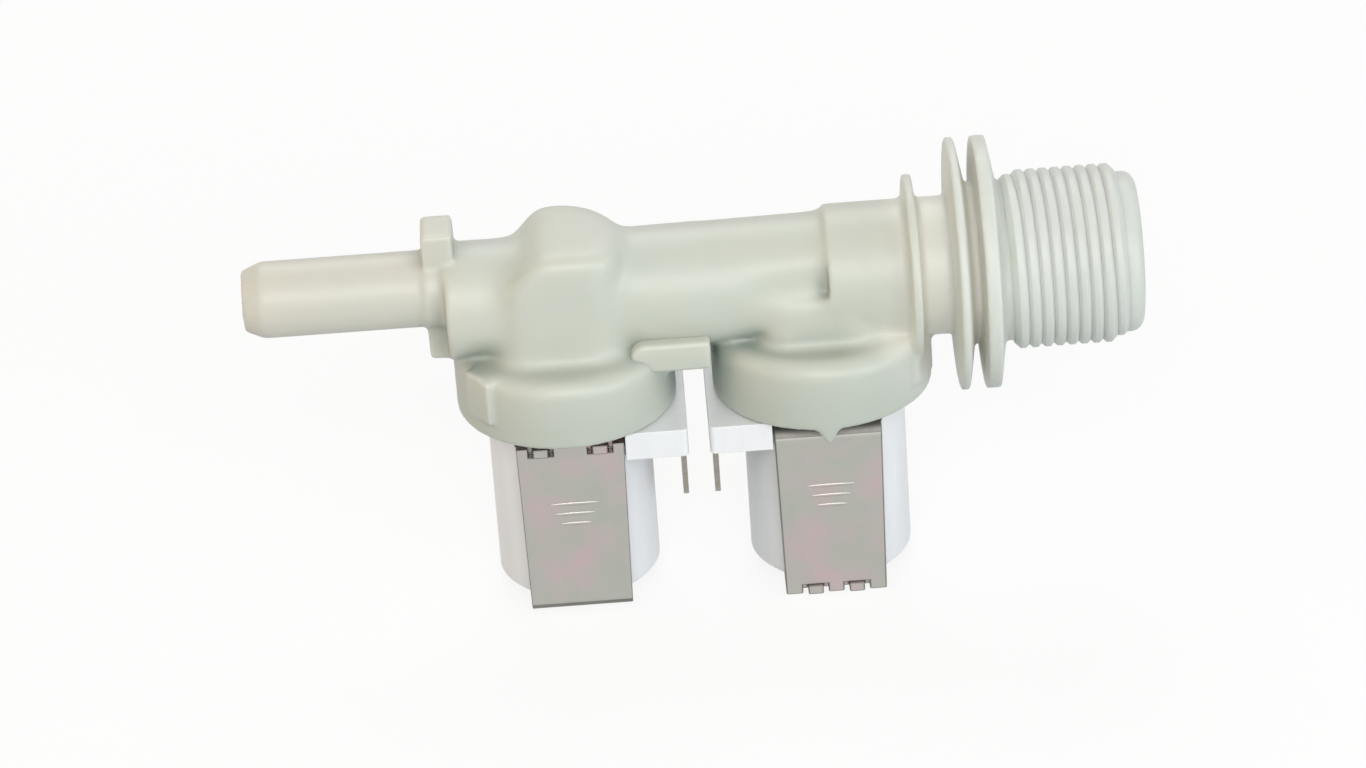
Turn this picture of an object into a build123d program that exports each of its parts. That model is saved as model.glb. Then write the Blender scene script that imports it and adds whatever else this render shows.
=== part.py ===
"""Twin solenoid inlet valve for a dishwasher.

Lengths are in millimetres. X runs along the body towards the threaded inlet, Z is up, and the
two coils hang below the body. The origin lies on the inlet axis, half way along the thread.
"""
import os
from math import cos, radians, sin

from build123d import *

os.makedirs("parts", exist_ok=True)

# Threaded inlet, G 3/4: the cylinder under the thread, its plain nose and its relief
thread_root_radius = 12.06
thread_length = 15.6
nose_length = 3.5
nose_radius = 11.88
nose_round = 1.8
relief_length = 2.6
relief_radius = 11.88
inlet_bore_radius = 9.5
inlet_bore_depth = 24.0
inlet_bore_chamfer = 0.7

# Two flanges that hold the valve in the slot of a base plate, and a thin ring behind them.
# Thicknesses are taken at the rim, and each tapered face stands out by its taper at the hub
flange_radius = 18.7
seat_flange_thickness = 2.0
seat_front_taper = 1.2
seat_back_taper = 0.5
back_flange_thickness = 1.2
back_front_taper = 1.2
back_back_taper = 0.6
panel_gap = 2.6
panel_groove_radius = 11.88
thin_ring_radius = 13.75
thin_ring_thickness = 1.2
thin_ring_taper = 0.4
thin_ring_setback = 5.4

# Neck behind the flanges and the run tube between the two valves
neck_radius = 10.25
neck_bore_radius = 7.4
tube_radius_inlet_end = 9.35
tube_radius_outlet_end = 8.7
run_bore_radius = 6.3

# Where the valves and the outlet stand along the body
valve_setback = 25.95
valve_spacing = 38.15
tube_overhang = 16.6

# Outlet spigot and the locating tab across it
spigot_rise = 2.4
spigot_radius = 5.7
spigot_bore_radius = 3.9
spigot_length = 30.0
spigot_root_radius = 6.1
spigot_taper_length = 3.0
spigot_taper = 1.3
outlet_bore_radius = 5.2
outlet_bore_end_wall = 3.0
tab_length = 4.75
tab_overlap = 1.8
tab_half_depth = 3.6
tab_half_height = 10.25
tab_corner = 0.5

# Bells that close over the coils, and the chambers that rise from them
bell_radius = 16.35
bell_bore_radius = 13.4
bell_top_z = -6.8
bell_rim_z = -17.5
bell_shoulder_round = 2.6
chamber_radius = 9.75
chamber_front = 10.1
chamber_front_round = 5.2
chamber_foot_round = 1.3
inlet_chamber_top_z = 0.5
outlet_chamber_top_z = 10.6
chamber_top_round = 1.8
hood_crest_offset = 2.6
hood_crest_round = 3.0
annulus_radius = 12.0
annulus_roof = 1.9
seat_z = -11.4
nozzle_radius = 5.6
nozzle_bore_radius = 4.0
port_radius = 2.5
port_inset = 0.3
cross_wall = 2.4

# Flat pockets beside the inlet chamber
pocket_half_depth = 7.9
pocket_height = 4.5
notch_half_depth = 7.4
notch_height = 5.6
notch_length = 2.3
neck_end_offset = 1.4

# Small features of the bells
lug_width = 5.4
lug_proud = 0.75
lug_root = 2.6
lug_top_z = -7.0
lug_bottom_z = -14.4
outlet_lug_angle = -140.0
inlet_lug_angle = -28.0
tooth_width = 3.4
tooth_tip = 0.6
tooth_length = 2.4
tooth_depth = 2.4
tooth_inset = 0.15
bar_top_z = -6.0
bar_bottom_z = -11.0
bar_front_y = -7.0
bar_back_y = -2.4
bar_root_offset = 9.6
bar_gap = 0.5
bar_round = 1.8

# Coil: yoke plates, plastic jacket with its terminal shelf, bobbin and winding
yoke_half_depth = 12.4
yoke_thickness = 1.5
yoke_width_top = 16.0
yoke_width_bottom = 15.1
yoke_top_z = -19.2
yoke_bottom_z = -47.7
yoke_bend_radius = 2.0
stake_width = 2.3
stake_pitch_top = 8.8
stake_pitch_bottom = 6.2
stake_proud = 0.4
stake_clearance = 0.75
jacket_radius = 12.1
jacket_clearance = 0.2
jacket_edge = 0.9
shelf_gap = 3.15
shelf_half_depth = 12.5
shelf_thickness = 4.5
shelf_corner = 0.8
bobbin_radius = 9.8
bobbin_wall = 0.8
bobbin_flange = 1.3
winding_inset = 0.4
bush_clearance = 0.1
bush_wall = 0.95
bush_length = 8.5

# Blade terminals, 6.3 by 0.8
blade_thickness = 0.8
blade_width = 6.3
blade_inset = 0.4
blade_offset_y = 5.6
blade_tip_z = -31.5
blade_root_cover = 0.9
blade_chamfer = 1.1
blade_hole_radius = 0.85
blade_hole_from_tip = 3.6

# Guide tube, plunger, spring and diaphragm
guide_flange_clearance = 0.1
guide_flange_top_z = -13.7
guide_dish_radius = 9.0
guide_dish_z = -16.4
guide_collar_radius = 8.0
guide_bore_radius = 4.05
guide_wall = 0.8
guide_end_z = -46.9
guide_end_wall = 1.2
plunger_clearance = 0.05
plunger_top_z = -15.15
plunger_bottom_z = -38.0
plunger_bore_radius = 2.3
plunger_bore_depth = 9.0
plunger_flute_radius = 0.7
tip_radius = 2.3
tip_proud = 0.6
tip_sink = 1.2
spring_mean_radius = 1.7
spring_wire_radius = 0.25
spring_turns = 6
diaphragm_gap = 0.05
diaphragm_web = 0.8
diaphragm_hole_radius = 2.0
insert_radius = 5.6
insert_thickness = 1.6
insert_stem_radius = 1.9
insert_head_radius = 2.7
insert_head_height = 1.2
pilot_radius = 0.5
pilot_nipple_radius = 1.4
pilot_nipple_height = 0.6

# Strainer and flow regulator in the inlet
strainer_depth = 6.0
strainer_ring_length = 2.6
strainer_ring_wall = 1.3
strainer_clearance = 0.1
strainer_cone_length = 7.0
strainer_tip_radius = 3.0
strainer_wall = 0.7
strainer_handle_length = 3.2
strainer_handle_width = 5.0
strainer_handle_thickness = 1.0
cage_thickness = 2.0
cage_window_radius = 0.8
cage_window_circle = 3.4
cage_windows = 4
cage_cup_wall = 1.1
regulator_radius = 6.0
regulator_thickness = 3.0
regulator_hole_radius = 1.6

# Stations worked out from the sizes above
x_thread_front = thread_length / 2
x_nose = x_thread_front + nose_length
x_thread_back = -thread_length / 2
x_seat = x_thread_back - relief_length
x_seat_back = x_seat - seat_flange_thickness
x_back_front = x_seat_back - panel_gap
x_back_back = x_back_front - back_flange_thickness
x_ring_front = x_back_back - thin_ring_setback
x_ring_back = x_ring_front - thin_ring_thickness
x_inlet_valve = x_seat - valve_setback
x_outlet_valve = x_inlet_valve - valve_spacing
x_neck_end = x_inlet_valve + neck_end_offset
x_tube_end = x_outlet_valve - tube_overhang
x_tab_face = x_tube_end + tab_overlap - tab_length
x_spigot_end = x_tube_end - spigot_length
x_bore_floor = x_nose - inlet_bore_depth
bore_end_offset = nozzle_bore_radius + cross_wall
port_offset = bore_end_offset + port_inset + port_radius
annulus_top_z = bell_top_z - annulus_roof
yoke_top_under_z = yoke_top_z - yoke_thickness
yoke_floor_z = yoke_bottom_z + yoke_thickness
guide_radius = guide_bore_radius + guide_wall
bush_bore_radius = guide_radius + bush_clearance
bush_radius = bush_bore_radius + bush_wall
bobbin_core_radius = bush_radius + bobbin_wall
shelf_reach = (valve_spacing - shelf_gap) / 2
blade_x = shelf_reach - blade_inset - blade_thickness / 2
shelf_top_z = bell_rim_z - jacket_clearance

x_axis = Axis((0, 0, 0), (1, 0, 0))
spigot_axis = Axis((0, 0, spigot_rise), (1, 0, 0))


def export(part, label):
    """Label a finished piece and write it to the parts folder."""
    part.label = label
    export_step(part, f"parts/{label}.step")


def nearest(vertices, point):
    """The corner of a profile that lies at a point."""
    return vertices.sort_by_distance((point[0], point[1], 0))[0]


def level(x, turn, z):
    """Horizontal plane at height z about a valve's axis, turned so that its shelf is along +x."""
    return Plane(origin=(x, 0, z), x_dir=(turn, 0, 0), z_dir=(0, 0, 1))


def upright(x, turn):
    """Vertical plane through a valve's axis, seen from the front of the coil."""
    return Plane(origin=(x, 0, 0), x_dir=(turn, 0, 0), z_dir=(0, -turn, 0))


def side(x, turn):
    """Vertical plane across a valve's axis: local x runs to the front, local y up."""
    return Plane(origin=(x, 0, 0), x_dir=(0, -turn, 0), z_dir=(-turn, 0, 0))


def make_valve_body():
    """The one-piece moulding: inlet, flanges, run tube, chambers, bells and spigot."""
    with BuildPart() as body:
        # Each valve has a round bell and a chamber on it, which is round behind and flat in front
        for x, top_z in ((x_outlet_valve, outlet_chamber_top_z), (x_inlet_valve, inlet_chamber_top_z)):
            with BuildSketch(upright(x, 1)) as bell:
                with Locations((bell_radius / 2, (bell_top_z + bell_rim_z) / 2)):
                    Rectangle(bell_radius, bell_top_z - bell_rim_z)
                fillet(nearest(bell.vertices(), (bell_radius, bell_top_z)), bell_shoulder_round)
            revolve(axis=Axis((x, 0, 0), (0, 0, 1)))
            with BuildSketch(Plane.XY.offset(bell_top_z)) as plan:
                with Locations((x, 0)):
                    Circle(chamber_radius)
                with Locations((x, -chamber_front / 2)):
                    Rectangle(2 * chamber_radius, chamber_front)
                fillet(plan.vertices().group_by(Axis.Y)[0], chamber_front_round)
            extrude(amount=top_z - bell_top_z)
            foot = (
                body.edges()
                .filter_by_position(Axis.Z, bell_top_z, bell_top_z)
                .filter_by_position(Axis.X, x - chamber_radius, x + chamber_radius)
            )
            fillet(foot, chamber_foot_round)
        # The outlet chamber's top slopes away at 45 degrees towards the spigot
        x_crest = x_outlet_valve - hood_crest_offset
        slope_run = chamber_radius + 1 - hood_crest_offset
        with BuildSketch(Plane.XZ):
            with BuildLine():
                Polyline(
                    (x_crest, outlet_chamber_top_z),
                    (x_crest - slope_run, outlet_chamber_top_z),
                    (x_crest - slope_run, outlet_chamber_top_z - slope_run),
                    close=True,
                )
            make_face()
        extrude(amount=bell_radius, both=True, mode=Mode.SUBTRACT)
        crest = body.faces().sort_by(Axis.Z)[-1].edges().sort_by(Axis.X)[0]
        fillet(crest, hood_crest_round)
        rim = body.faces().sort_by(Axis.Z)[-1].edges().sort_by(Axis.X)[1:]
        fillet(rim, chamber_top_round)
        # Everything that is round about the inlet axis
        with BuildSketch(Plane.XZ) as round_profile:
            with BuildLine():
                Polyline(
                    (x_nose, 0),
                    (x_nose, nose_radius),
                    (x_thread_front, nose_radius),
                    (x_thread_front, thread_root_radius),
                    (x_thread_back, thread_root_radius),
                    (x_thread_back, relief_radius),
                    (x_seat + seat_front_taper, relief_radius),
                    (x_seat, flange_radius),
                    (x_seat_back, flange_radius),
                    (x_seat_back - seat_back_taper, panel_groove_radius),
                    (x_back_front + back_front_taper, panel_groove_radius),
                    (x_back_front, flange_radius),
                    (x_back_back, flange_radius),
                    (x_back_back - back_back_taper, neck_radius),
                    (x_ring_front + thin_ring_taper, neck_radius),
                    (x_ring_front, thin_ring_radius),
                    (x_ring_back, thin_ring_radius),
                    (x_ring_back - thin_ring_taper, neck_radius),
                    (x_neck_end, neck_radius),
                    (x_neck_end, tube_radius_inlet_end),
                    (x_tube_end, tube_radius_outlet_end),
                    (x_tube_end, 0),
                    close=True,
                )
            make_face()
            fillet(nearest(round_profile.vertices(), (x_nose, nose_radius)), nose_round)
        revolve(axis=x_axis)
        # Flat pockets on both sides of the tube, above the inlet chamber
        pocket_length = neck_end_offset + chamber_radius
        for length, height, inner in (
            (pocket_length, pocket_height, pocket_half_depth),
            (notch_length, notch_height, notch_half_depth),
        ):
            for hand in (-1, 1):
                with BuildSketch(Plane.XZ.offset(-hand * inner)):
                    with Locations((x_neck_end - length / 2, inlet_chamber_top_z + height / 2)):
                        Rectangle(length, height)
                extrude(amount=-hand * neck_radius, mode=Mode.SUBTRACT)
        # Spigot
        with BuildSketch(Plane.XZ):
            with BuildLine():
                Polyline(
                    (x_tube_end + tab_overlap, spigot_rise),
                    (x_tube_end + tab_overlap, spigot_rise + spigot_root_radius),
                    (x_tab_face, spigot_rise + spigot_root_radius),
                    (x_tab_face, spigot_rise + spigot_radius),
                    (x_spigot_end + spigot_taper_length, spigot_rise + spigot_radius),
                    (x_spigot_end, spigot_rise + spigot_radius - spigot_taper),
                    (x_spigot_end, spigot_rise),
                    close=True,
                )
            make_face()
        revolve(axis=spigot_axis)
        # Locating tab across the spigot's root
        with BuildSketch(Plane.XZ):
            with Locations((x_tab_face + tab_length / 2, spigot_rise)):
                RectangleRounded(tab_length, 2 * tab_half_height, tab_corner)
        extrude(amount=tab_half_depth, both=True)
        # Bar on the outlet bell that fills the gap between the bells
        bar_end = x_inlet_valve - bell_radius - bar_gap
        bar_start = x_outlet_valve + bar_root_offset
        with BuildSketch(Plane.XY.offset(bar_bottom_z)) as bar:
            with Locations(((bar_start + bar_end) / 2, (bar_front_y + bar_back_y) / 2)):
                Rectangle(bar_end - bar_start, bar_back_y - bar_front_y)
            fillet(bar.vertices().group_by(Axis.X)[0], bar_round)
        extrude(amount=bar_top_z - bar_bottom_z)
        # Lugs on the walls of the bells, and a tooth on each rim that keys the coil
        for x, turn, angle in (
            (x_outlet_valve, 1, outlet_lug_angle),
            (x_inlet_valve, -1, inlet_lug_angle),
        ):
            outward = (cos(radians(angle)), sin(radians(angle)), 0)
            with BuildSketch(Plane(origin=(x, 0, lug_top_z), x_dir=outward, z_dir=(0, 0, 1))):
                with Locations((bell_radius + (lug_proud - lug_root) / 2, 0)):
                    Rectangle(lug_root + lug_proud, lug_width)
            extrude(amount=lug_bottom_z - lug_top_z)
            with BuildSketch(upright(x, -turn).offset(bell_radius - tooth_inset)):
                with BuildLine():
                    Polyline(
                        (-tooth_width / 2, bell_rim_z + tooth_inset),
                        (-tooth_width / 2, bell_rim_z),
                        (-tooth_tip / 2, bell_rim_z - tooth_length),
                        (tooth_tip / 2, bell_rim_z - tooth_length),
                        (tooth_width / 2, bell_rim_z),
                        (tooth_width / 2, bell_rim_z + tooth_inset),
                        close=True,
                    )
                make_face()
            extrude(amount=-tooth_depth)
        # Water ways: inlet, run tube, outlet, then nozzles, ports and diaphragm seats
        with BuildSketch(Plane.XZ):
            with BuildLine():
                Polyline(
                    (x_nose, 0),
                    (x_nose, inlet_bore_radius + inlet_bore_chamfer),
                    (x_nose - inlet_bore_chamfer, inlet_bore_radius),
                    (x_bore_floor, inlet_bore_radius),
                    (x_bore_floor, neck_bore_radius),
                    (x_inlet_valve + bore_end_offset, neck_bore_radius),
                    (x_inlet_valve + bore_end_offset, 0),
                    close=True,
                )
            make_face()
        revolve(axis=x_axis, mode=Mode.SUBTRACT)
        run_start = x_outlet_valve + bore_end_offset
        run_end = x_inlet_valve + nozzle_bore_radius / 2
        with BuildSketch(Plane.YZ.offset(run_start)):
            Circle(run_bore_radius)
        extrude(amount=run_end - run_start, mode=Mode.SUBTRACT)
        outlet_start = x_tube_end + outlet_bore_end_wall
        outlet_end = x_outlet_valve + nozzle_bore_radius / 2
        with BuildSketch(Plane.YZ.offset(outlet_start)):
            with Locations((0, spigot_rise)):
                Circle(outlet_bore_radius)
        extrude(amount=outlet_end - outlet_start, mode=Mode.SUBTRACT)
        with BuildSketch(Plane.YZ.offset(x_spigot_end)):
            with Locations((0, spigot_rise)):
                Circle(spigot_bore_radius)
        extrude(amount=outlet_start - x_spigot_end, mode=Mode.SUBTRACT)
        for x, rise in ((x_outlet_valve, spigot_rise), (x_inlet_valve, 0)):
            with BuildSketch(Plane.XY.offset(bell_rim_z)):
                with Locations((x, 0)):
                    Circle(bell_bore_radius)
            extrude(amount=seat_z - bell_rim_z, mode=Mode.SUBTRACT)
            with BuildSketch(Plane.XY.offset(seat_z)):
                with Locations((x, 0)):
                    Circle(annulus_radius)
                    Circle(nozzle_radius, mode=Mode.SUBTRACT)
            extrude(amount=annulus_top_z - seat_z, mode=Mode.SUBTRACT)
            with BuildSketch(Plane.XY.offset(seat_z)):
                with Locations((x, 0)):
                    Circle(nozzle_bore_radius)
            extrude(amount=rise - seat_z, mode=Mode.SUBTRACT)
            with BuildSketch(Plane.XY.offset(annulus_top_z)):
                with Locations((x + port_offset, 0)):
                    Circle(port_radius)
            extrude(amount=-annulus_top_z, mode=Mode.SUBTRACT)
    return body.part


def make_strainer():
    """Conical strainer with its rim ring and a small pull tab, pushed into the inlet."""
    ring_radius = inlet_bore_radius - strainer_clearance
    cone_root = ring_radius - strainer_ring_wall
    x_front = x_nose - strainer_depth
    x_ring = x_front - strainer_ring_length
    x_tip = x_ring - strainer_cone_length
    with BuildPart() as strainer:
        with BuildSketch(Plane.XZ):
            with BuildLine():
                Polyline(
                    (x_front, cone_root),
                    (x_front, ring_radius),
                    (x_ring, ring_radius),
                    (x_ring, cone_root),
                    (x_tip, strainer_tip_radius),
                    (x_tip, 0),
                    (x_tip + strainer_wall, 0),
                    (x_tip + strainer_wall, strainer_tip_radius - strainer_wall / 2),
                    (x_ring + strainer_wall, cone_root - strainer_wall),
                    (x_front, cone_root - strainer_wall),
                    close=True,
                )
            make_face()
        revolve(axis=x_axis)
        with BuildSketch(Plane.YZ.offset(x_tip)):
            Rectangle(strainer_handle_width, strainer_handle_thickness)
        extrude(amount=strainer_cone_length + strainer_handle_length)
    return strainer.part


def make_regulator_cage():
    """Cage that holds the flow regulator against the step of the inlet bore."""
    radius = inlet_bore_radius - strainer_clearance
    cup_radius = regulator_radius + cage_cup_wall
    with BuildPart() as cage:
        with BuildSketch(Plane.YZ.offset(x_bore_floor)):
            Circle(radius)
            Circle(regulator_hole_radius, mode=Mode.SUBTRACT)
            with PolarLocations(cage_window_circle, cage_windows):
                Circle(cage_window_radius, mode=Mode.SUBTRACT)
        extrude(amount=cage_thickness)
        with BuildSketch(Plane.YZ.offset(x_bore_floor + cage_thickness)):
            Circle(cup_radius)
            Circle(regulator_radius, mode=Mode.SUBTRACT)
        extrude(amount=regulator_thickness)
    return cage.part


def make_regulator():
    """Rubber flow regulator disc in its cage."""
    with BuildPart() as regulator:
        with BuildSketch(Plane.YZ.offset(x_bore_floor + cage_thickness)):
            Circle(regulator_radius)
            Circle(regulator_hole_radius, mode=Mode.SUBTRACT)
        extrude(amount=regulator_thickness)
    return regulator.part


def make_diaphragm(x, turn):
    """Rubber diaphragm: a thick clamped bead and a thin web with a hole for the insert."""
    web_top = seat_z - diaphragm_gap
    bead_inner = annulus_radius
    with BuildPart() as diaphragm:
        with BuildSketch(upright(x, turn)):
            with BuildLine():
                Polyline(
                    (diaphragm_hole_radius, web_top),
                    (bead_inner, web_top),
                    (bead_inner, seat_z),
                    (bell_bore_radius - guide_flange_clearance, seat_z),
                    (bell_bore_radius - guide_flange_clearance, guide_flange_top_z),
                    (bead_inner, guide_flange_top_z),
                    (bead_inner, web_top - diaphragm_web),
                    (diaphragm_hole_radius, web_top - diaphragm_web),
                    close=True,
                )
            make_face()
        revolve(axis=Axis((x, 0, 0), (0, 0, 1)))
    return diaphragm.part


def make_insert(x, turn):
    """Stiff insert of the diaphragm with the pilot hole through its stem."""
    top = seat_z - 2 * diaphragm_gap - diaphragm_web
    head_under = seat_z
    with BuildPart() as insert:
        with BuildSketch(upright(x, turn)):
            with BuildLine():
                Polyline(
                    (pilot_radius, head_under + insert_head_height),
                    (insert_head_radius, head_under + insert_head_height),
                    (insert_head_radius, head_under),
                    (insert_stem_radius, head_under),
                    (insert_stem_radius, top),
                    (insert_radius, top),
                    (insert_radius, top - insert_thickness),
                    (pilot_nipple_radius, top - insert_thickness),
                    (pilot_nipple_radius, top - insert_thickness - pilot_nipple_height),
                    (pilot_radius, top - insert_thickness - pilot_nipple_height),
                    close=True,
                )
            make_face()
        revolve(axis=Axis((x, 0, 0), (0, 0, 1)))
    return insert.part


def make_guide_tube(x, turn):
    """Guide tube: flange that clamps the diaphragm, collar, and the closed tube for the plunger."""
    flange_radius_here = bell_bore_radius - guide_flange_clearance
    with BuildPart() as guide:
        with BuildSketch(upright(x, turn)):
            with BuildLine():
                Polyline(
                    (0, guide_end_z),
                    (guide_radius, guide_end_z),
                    (guide_radius, yoke_top_z),
                    (guide_collar_radius, yoke_top_z),
                    (guide_collar_radius, bell_rim_z),
                    (flange_radius_here, bell_rim_z),
                    (flange_radius_here, guide_flange_top_z),
                    (guide_dish_radius, guide_flange_top_z),
                    (guide_dish_radius, guide_dish_z),
                    (guide_bore_radius, guide_dish_z),
                    (guide_bore_radius, guide_end_z + guide_end_wall),
                    (0, guide_end_z + guide_end_wall),
                    close=True,
                )
            make_face()
        revolve(axis=Axis((x, 0, 0), (0, 0, 1)))
    return guide.part


def make_plunger(x, turn):
    """Steel plunger with flutes, a seat for its rubber tip and a bore for the spring."""
    radius = guide_bore_radius - plunger_clearance
    tip_floor = plunger_top_z - tip_sink
    bore_roof = plunger_bottom_z + plunger_bore_depth
    with BuildPart() as plunger:
        with BuildSketch(upright(x, turn)):
            with BuildLine():
                Polyline(
                    (0, tip_floor),
                    (tip_radius, tip_floor),
                    (tip_radius, plunger_top_z),
                    (radius, plunger_top_z),
                    (radius, plunger_bottom_z),
                    (plunger_bore_radius, plunger_bottom_z),
                    (plunger_bore_radius, bore_roof),
                    (0, bore_roof),
                    close=True,
                )
            make_face()
        revolve(axis=Axis((x, 0, 0), (0, 0, 1)))
        with BuildSketch(level(x, turn, plunger_bottom_z)):
            with PolarLocations(radius, 2):
                Circle(plunger_flute_radius)
        extrude(amount=plunger_top_z - plunger_bottom_z, mode=Mode.SUBTRACT)
    return plunger.part


def make_plunger_tip(x, turn):
    """Rubber tip that closes the pilot hole."""
    with BuildPart() as tip:
        with BuildSketch(level(x, turn, plunger_top_z - tip_sink)):
            Circle(tip_radius)
        extrude(amount=tip_sink + tip_proud)
    return tip.part


def make_spring(x, turn):
    """Return spring between the closed end of the guide tube and the roof of the plunger's bore."""
    low = guide_end_z + guide_end_wall + spring_wire_radius
    high = plunger_bottom_z + plunger_bore_depth - spring_wire_radius
    with BuildPart() as spring:
        with BuildLine():
            coil = Helix((high - low) / spring_turns, high - low, spring_mean_radius, center=(x, 0, low))
        with BuildSketch(Plane(origin=coil @ 0, z_dir=coil % 0)):
            RegularPolygon(spring_wire_radius, 4)
        sweep(path=coil, is_frenet=True)
    return spring.part


def make_bobbin(x, turn):
    """Bobbin with a flange against each yoke plate."""
    with BuildPart() as bobbin:
        with BuildSketch(upright(x, turn)):
            with BuildLine():
                Polyline(
                    (bush_radius, yoke_floor_z),
                    (bobbin_radius, yoke_floor_z),
                    (bobbin_radius, yoke_floor_z + bobbin_flange),
                    (bobbin_core_radius, yoke_floor_z + bobbin_flange),
                    (bobbin_core_radius, yoke_top_under_z - bobbin_flange),
                    (bobbin_radius, yoke_top_under_z - bobbin_flange),
                    (bobbin_radius, yoke_top_under_z),
                    (bush_radius, yoke_top_under_z),
                    close=True,
                )
            make_face()
        revolve(axis=Axis((x, 0, 0), (0, 0, 1)))
    return bobbin.part


def make_winding(x, turn):
    """Copper winding on the bobbin."""
    low = yoke_floor_z + bobbin_flange
    high = yoke_top_under_z - bobbin_flange
    with BuildPart() as winding:
        with BuildSketch(level(x, turn, low)):
            Circle(bobbin_radius - winding_inset)
            Circle(bobbin_core_radius, mode=Mode.SUBTRACT)
        extrude(amount=high - low)
    return winding.part


def make_bush(x, turn, low):
    """Steel flux bush around the guide tube, against one of the yoke plates."""
    with BuildPart() as bush:
        with BuildSketch(level(x, turn, low)):
            Circle(bush_radius)
            Circle(bush_bore_radius, mode=Mode.SUBTRACT)
        extrude(amount=bush_length)
    return bush.part


def make_jacket(x, turn):
    """Moulded jacket over the winding, with the shelf that carries the blade terminals."""
    channel = yoke_width_top + 2 * jacket_clearance
    with BuildPart() as jacket:
        with BuildSketch(level(x, turn, yoke_floor_z)):
            Circle(jacket_radius)
        extrude(amount=shelf_top_z - yoke_floor_z)
        chamfer(jacket.edges().group_by(Axis.Z)[0], jacket_edge)
        with BuildSketch(level(x, turn, shelf_top_z)) as shelf:
            with Locations((shelf_reach / 2, 0)):
                Rectangle(shelf_reach, 2 * shelf_half_depth)
            for hand in (-1, 1):
                fillet(nearest(shelf.vertices(), (shelf_reach, hand * shelf_half_depth)), shelf_corner)
        extrude(amount=-shelf_thickness)
        # Channel for the upper yoke plate, and flats for the side plates
        with BuildSketch(level(x, turn, yoke_top_under_z)):
            Rectangle(channel, 2 * bell_radius)
        extrude(amount=shelf_top_z - yoke_top_under_z, mode=Mode.SUBTRACT)
        for hand in (-1, 1):
            with BuildSketch(level(x, turn, yoke_floor_z)):
                with Locations((0, hand * (yoke_half_depth - yoke_thickness + bell_radius / 2))):
                    Rectangle(channel, bell_radius)
            extrude(amount=shelf_top_z - yoke_floor_z, mode=Mode.SUBTRACT)
        with BuildSketch(level(x, turn, yoke_floor_z)):
            Circle(bobbin_radius)
        extrude(amount=yoke_top_under_z - yoke_floor_z, mode=Mode.SUBTRACT)
        with BuildSketch(level(x, turn, shelf_top_z - blade_root_cover)):
            with Locations((blade_x, -blade_offset_y), (blade_x, blade_offset_y)):
                Rectangle(blade_thickness, blade_width)
        extrude(amount=-shelf_thickness, mode=Mode.SUBTRACT)
    return jacket.part


def make_blade(x, turn, hand):
    """Blade terminal, 6.3 by 0.8, with its lead-in corners and latch hole."""
    top = shelf_top_z - blade_root_cover
    y_mid = -turn * hand * blade_offset_y
    with BuildPart() as blade:
        plane = side(x, turn).offset(-blade_x - blade_thickness / 2)
        with BuildSketch(plane) as outline:
            with Locations((y_mid, (top + blade_tip_z) / 2)):
                Rectangle(blade_width, top - blade_tip_z)
            chamfer(outline.vertices().group_by(Axis.Y)[0], blade_chamfer)
            with Locations((y_mid, blade_tip_z + blade_hole_from_tip)):
                Circle(blade_hole_radius, mode=Mode.SUBTRACT)
        extrude(amount=blade_thickness)
    return blade.part


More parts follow.
